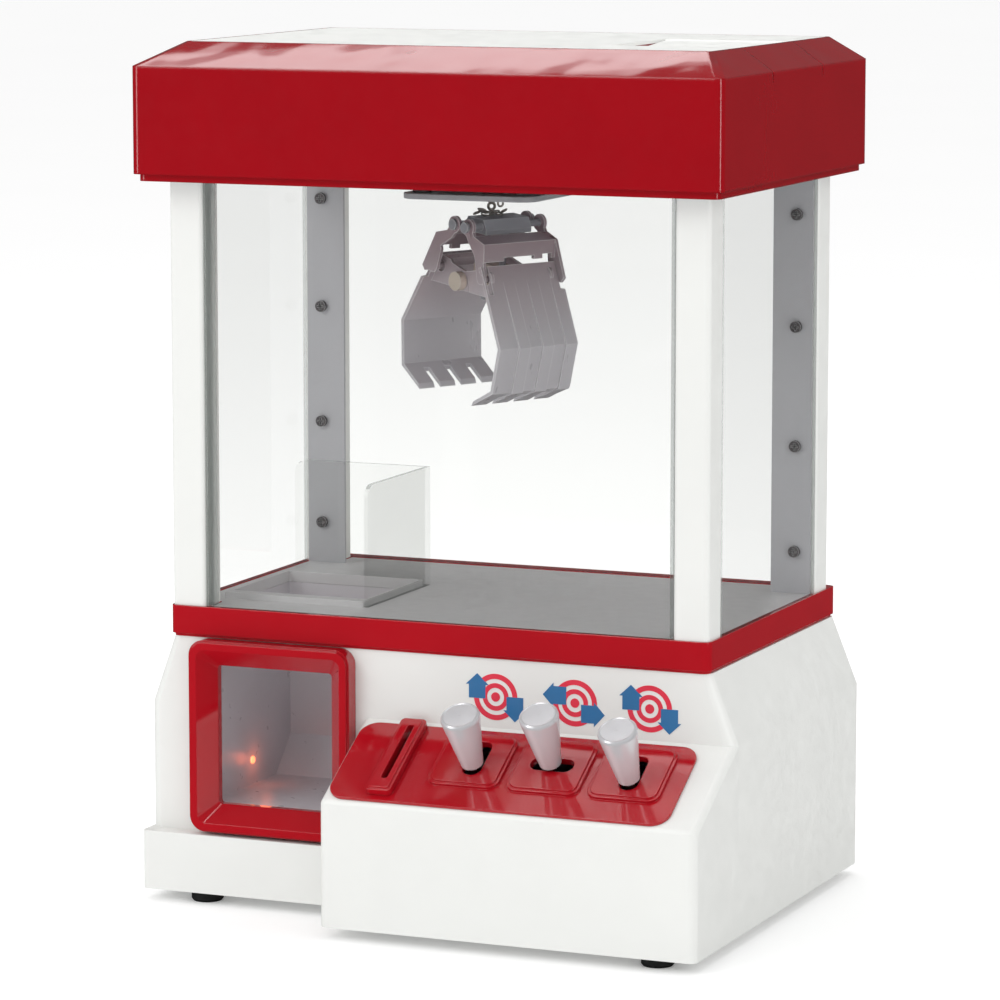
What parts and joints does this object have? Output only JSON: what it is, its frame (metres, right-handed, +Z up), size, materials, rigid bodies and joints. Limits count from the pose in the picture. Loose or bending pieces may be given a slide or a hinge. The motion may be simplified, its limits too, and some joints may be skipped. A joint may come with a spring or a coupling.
{
  "type": "claw crane machine",
  "caption": "Table-top claw crane machine: clear chamber with hanging two-jaw claw, prize hole and chute, joystick console, coin slot and domed roof with a loading hatch.",
  "frame": {"origin": "on the table, under the middle of the roof", "axes": "+X to the right seen from the front, +Y to the back, +Z up"},
  "size_m": [0.2702, 0.2159, 0.372],
  "materials": {
    "red": "glossy moulded",
    "white": "smooth moulded",
    "black_rubber": "moulded",
    "steel": "satin",
    "silver": "silver lacquer",
    "silver_plastic": "silver pigmented",
    "clear": "clear acrylic",
    "glow": "lit lens",
    "print_red": "printed",
    "print_blue": "printed",
    "grey": "satin moulded",
    "dark": "satin moulded",
    "green_board": "lacquered",
    "cell": "sleeved",
    "ivory": "natural acetal",
    "chrome": "polished"
  },
  "bodies": {
    "cabinet": {"base_shell": "white", "base_bottom": "white", "feet": "black_rubber", "screws": "steel", "trim_band": "red", "floor_plate": "silver", "prize_chute": "silver", "prize_frame": "red", "prize_light": "glow", "divider": "clear", "console_panel": "red", "coin_slot_plate": "red", "label_rings": "print_red", "label_arrows": "print_blue", "coin_chute": "grey", "battery_holder": "dark", "batteries": "cell", "battery_door": "white", "circuit_board": "green_board", "speaker": "dark", "switch_housing": "dark", "stick_bracket": "dark", "posts": "white", "post_liners": "silver", "front_pane": "clear", "side_panes": "clear", "rear_pane": "clear", "roof_shell": "red", "roof_panel": "white", "roof_frame": "grey", "y_rails": "steel", "y_racks": "ivory"},
    "coin_drawer": {"coin_drawer": "white"},
    "switch": {"switch_rocker": "red"},
    "stick_1": {"stick_1_handle": "silver_plastic", "stick_1_lever": "steel"},
    "stick_2": {"stick_2_handle": "silver_plastic", "stick_2_lever": "steel"},
    "stick_3": {"stick_3_handle": "silver_plastic", "stick_3_lever": "steel"},
    "hatch": {"hatch_lid": "white"},
    "bridge": {"bridge_ends": "dark", "x_rods": "steel", "x_rack": "ivory", "y_motor": "steel"},
    "y_drive": {"y_drive_shaft": "ivory"},
    "trolley": {"trolley": "grey", "trolley_cover": "grey", "trolley_motors": "steel"},
    "x_drive": {"x_pinion": "ivory"},
    "winch": {"winch_drum": "ivory"},
    "chain_top": {"chain_upper": "steel"},
    "chain_end": {"chain_lower": "steel"},
    "claw": {"claw_hub": "dark"},
    "claw_core": {"claw_weight": "chrome"},
    "arm_left": {"claw_arm_left": "silver_plastic"},
    "arm_right": {"claw_arm_right": "silver_plastic"},
    "jaw_left": {"claw_jaw_left": "silver_plastic"},
    "jaw_right": {"claw_jaw_right": "silver_plastic"}
  },
  "joints": [
    {"name": "drawer_slide", "type": "slide", "parent": "cabinet", "child": "coin_drawer", "axis": [0, 1, 0], "range_m": [0, 0.045]},
    {"name": "switch_rock", "type": "hinge", "parent": "cabinet", "child": "switch", "pos_m": [-0.06, 0.081, 0.06], "axis": [1, 0, 0], "range_deg": [-7, 7]},
    {"name": "stick_1_lean", "type": "hinge", "parent": "cabinet", "child": "stick_1", "pos_m": [0.0285, -0.09556, 0.06531], "axis": [1, 0, 0], "range_deg": [-12, 12]},
    {"name": "stick_2_lean", "type": "hinge", "parent": "cabinet", "child": "stick_2", "pos_m": [0.0622, -0.09203, 0.06739], "axis": [0, 0.8614, 0.508], "range_deg": [-12, 12]},
    {"name": "stick_3_lean", "type": "hinge", "parent": "cabinet", "child": "stick_3", "pos_m": [0.0988, -0.09668, 0.06465], "axis": [1, 0, 0], "range_deg": [-12, 12]},
    {"name": "hatch_hinge", "type": "hinge", "parent": "cabinet", "child": "hatch", "pos_m": [0.09, 0.032, 0.3708], "axis": [-1, 0, 0], "range_deg": [0, 100]},
    {"name": "bridge_slide", "type": "slide", "parent": "cabinet", "child": "bridge", "axis": [0, 1, 0], "range_m": [-0.03, 0.028]},
    {"name": "y_drive_turn", "type": "hinge", "parent": "bridge", "child": "y_drive", "pos_m": [0, 0.038, 0.328], "axis": [1, 0, 0], "range_deg": [-268.38, 287.48]},
    {"name": "trolley_slide", "type": "slide", "parent": "bridge", "child": "trolley", "axis": [1, 0, 0], "range_m": [-0.054, 0.054]},
    {"name": "x_drive_turn", "type": "hinge", "parent": "trolley", "child": "x_drive", "pos_m": [-0.03142, 0, 0.336], "axis": [0, 1, 0], "range_deg": [-516.66, 516.66]},
    {"name": "hoist", "type": "slide", "parent": "trolley", "child": "chain_end", "axis": [0, 0, -1], "range_m": [0, 0.042]},
    {"name": "winch_turn", "type": "hinge", "parent": "trolley", "child": "winch", "pos_m": [0, 0.0085, 0.335], "axis": [1, 0, 0], "range_deg": [-1, 382.97]},
    {"name": "chain_follow", "type": "slide", "parent": "trolley", "child": "chain_top", "axis": [0, 0, -1], "range_m": [0, 0.0211]},
    {"name": "claw_swivel", "type": "hinge", "parent": "chain_end", "child": "claw", "pos_m": [-0.006, 0, 0.296], "axis": [0, 0, 1], "range_deg": [-60, 60]},
    {"name": "core_slide", "type": "slide", "parent": "claw", "child": "claw_core", "axis": [-0.1095, 0.0534, -0.9925], "range_m": [-0.00497, 0.00621]},
    {"name": "jaw_open", "type": "hinge", "parent": "claw_core", "child": "jaw_right", "pos_m": [-0.00483, -0.00057, 0.26898], "axis": [-0.4384, -0.8988, 0], "range_deg": [-16, 20]},
    {"name": "jaw_left_open", "type": "hinge", "parent": "claw_core", "child": "jaw_left", "pos_m": [-0.00483, -0.00057, 0.26898], "axis": [0.4384, 0.8988, 0], "range_deg": [-16.05, 20.05]},
    {"name": "arm_right_swing", "type": "hinge", "parent": "claw", "child": "arm_right", "pos_m": [0.00129, -0.00356, 0.29242], "axis": [-0.4384, -0.8988, 0], "range_deg": [-4.02, 3.23]},
    {"name": "arm_left_swing", "type": "hinge", "parent": "claw", "child": "arm_left", "pos_m": [-0.00567, -0.00016, 0.29337], "axis": [0.4384, 0.8988, 0], "range_deg": [-4.02, 3.23]}
  ],
  "couplings": [
    {"joint": "y_drive_turn", "follows": "bridge_slide", "rad_per_m": -166.67},
    {"joint": "x_drive_turn", "follows": "trolley_slide", "rad_per_m": 166.67},
    {"joint": "winch_turn", "follows": "hoist", "rad_per_m": 158.73},
    {"joint": "chain_follow", "follows": "hoist", "ratio": 0.5},
    {"joint": "core_slide", "follows": "jaw_open", "m_per_rad": 0.017753},
    {"joint": "jaw_left_open", "follows": "jaw_open", "ratio": 1},
    {"joint": "arm_right_swing", "follows": "jaw_open", "ratio": -0.19859},
    {"joint": "arm_left_swing", "follows": "jaw_open", "ratio": -0.19859}
  ]
}
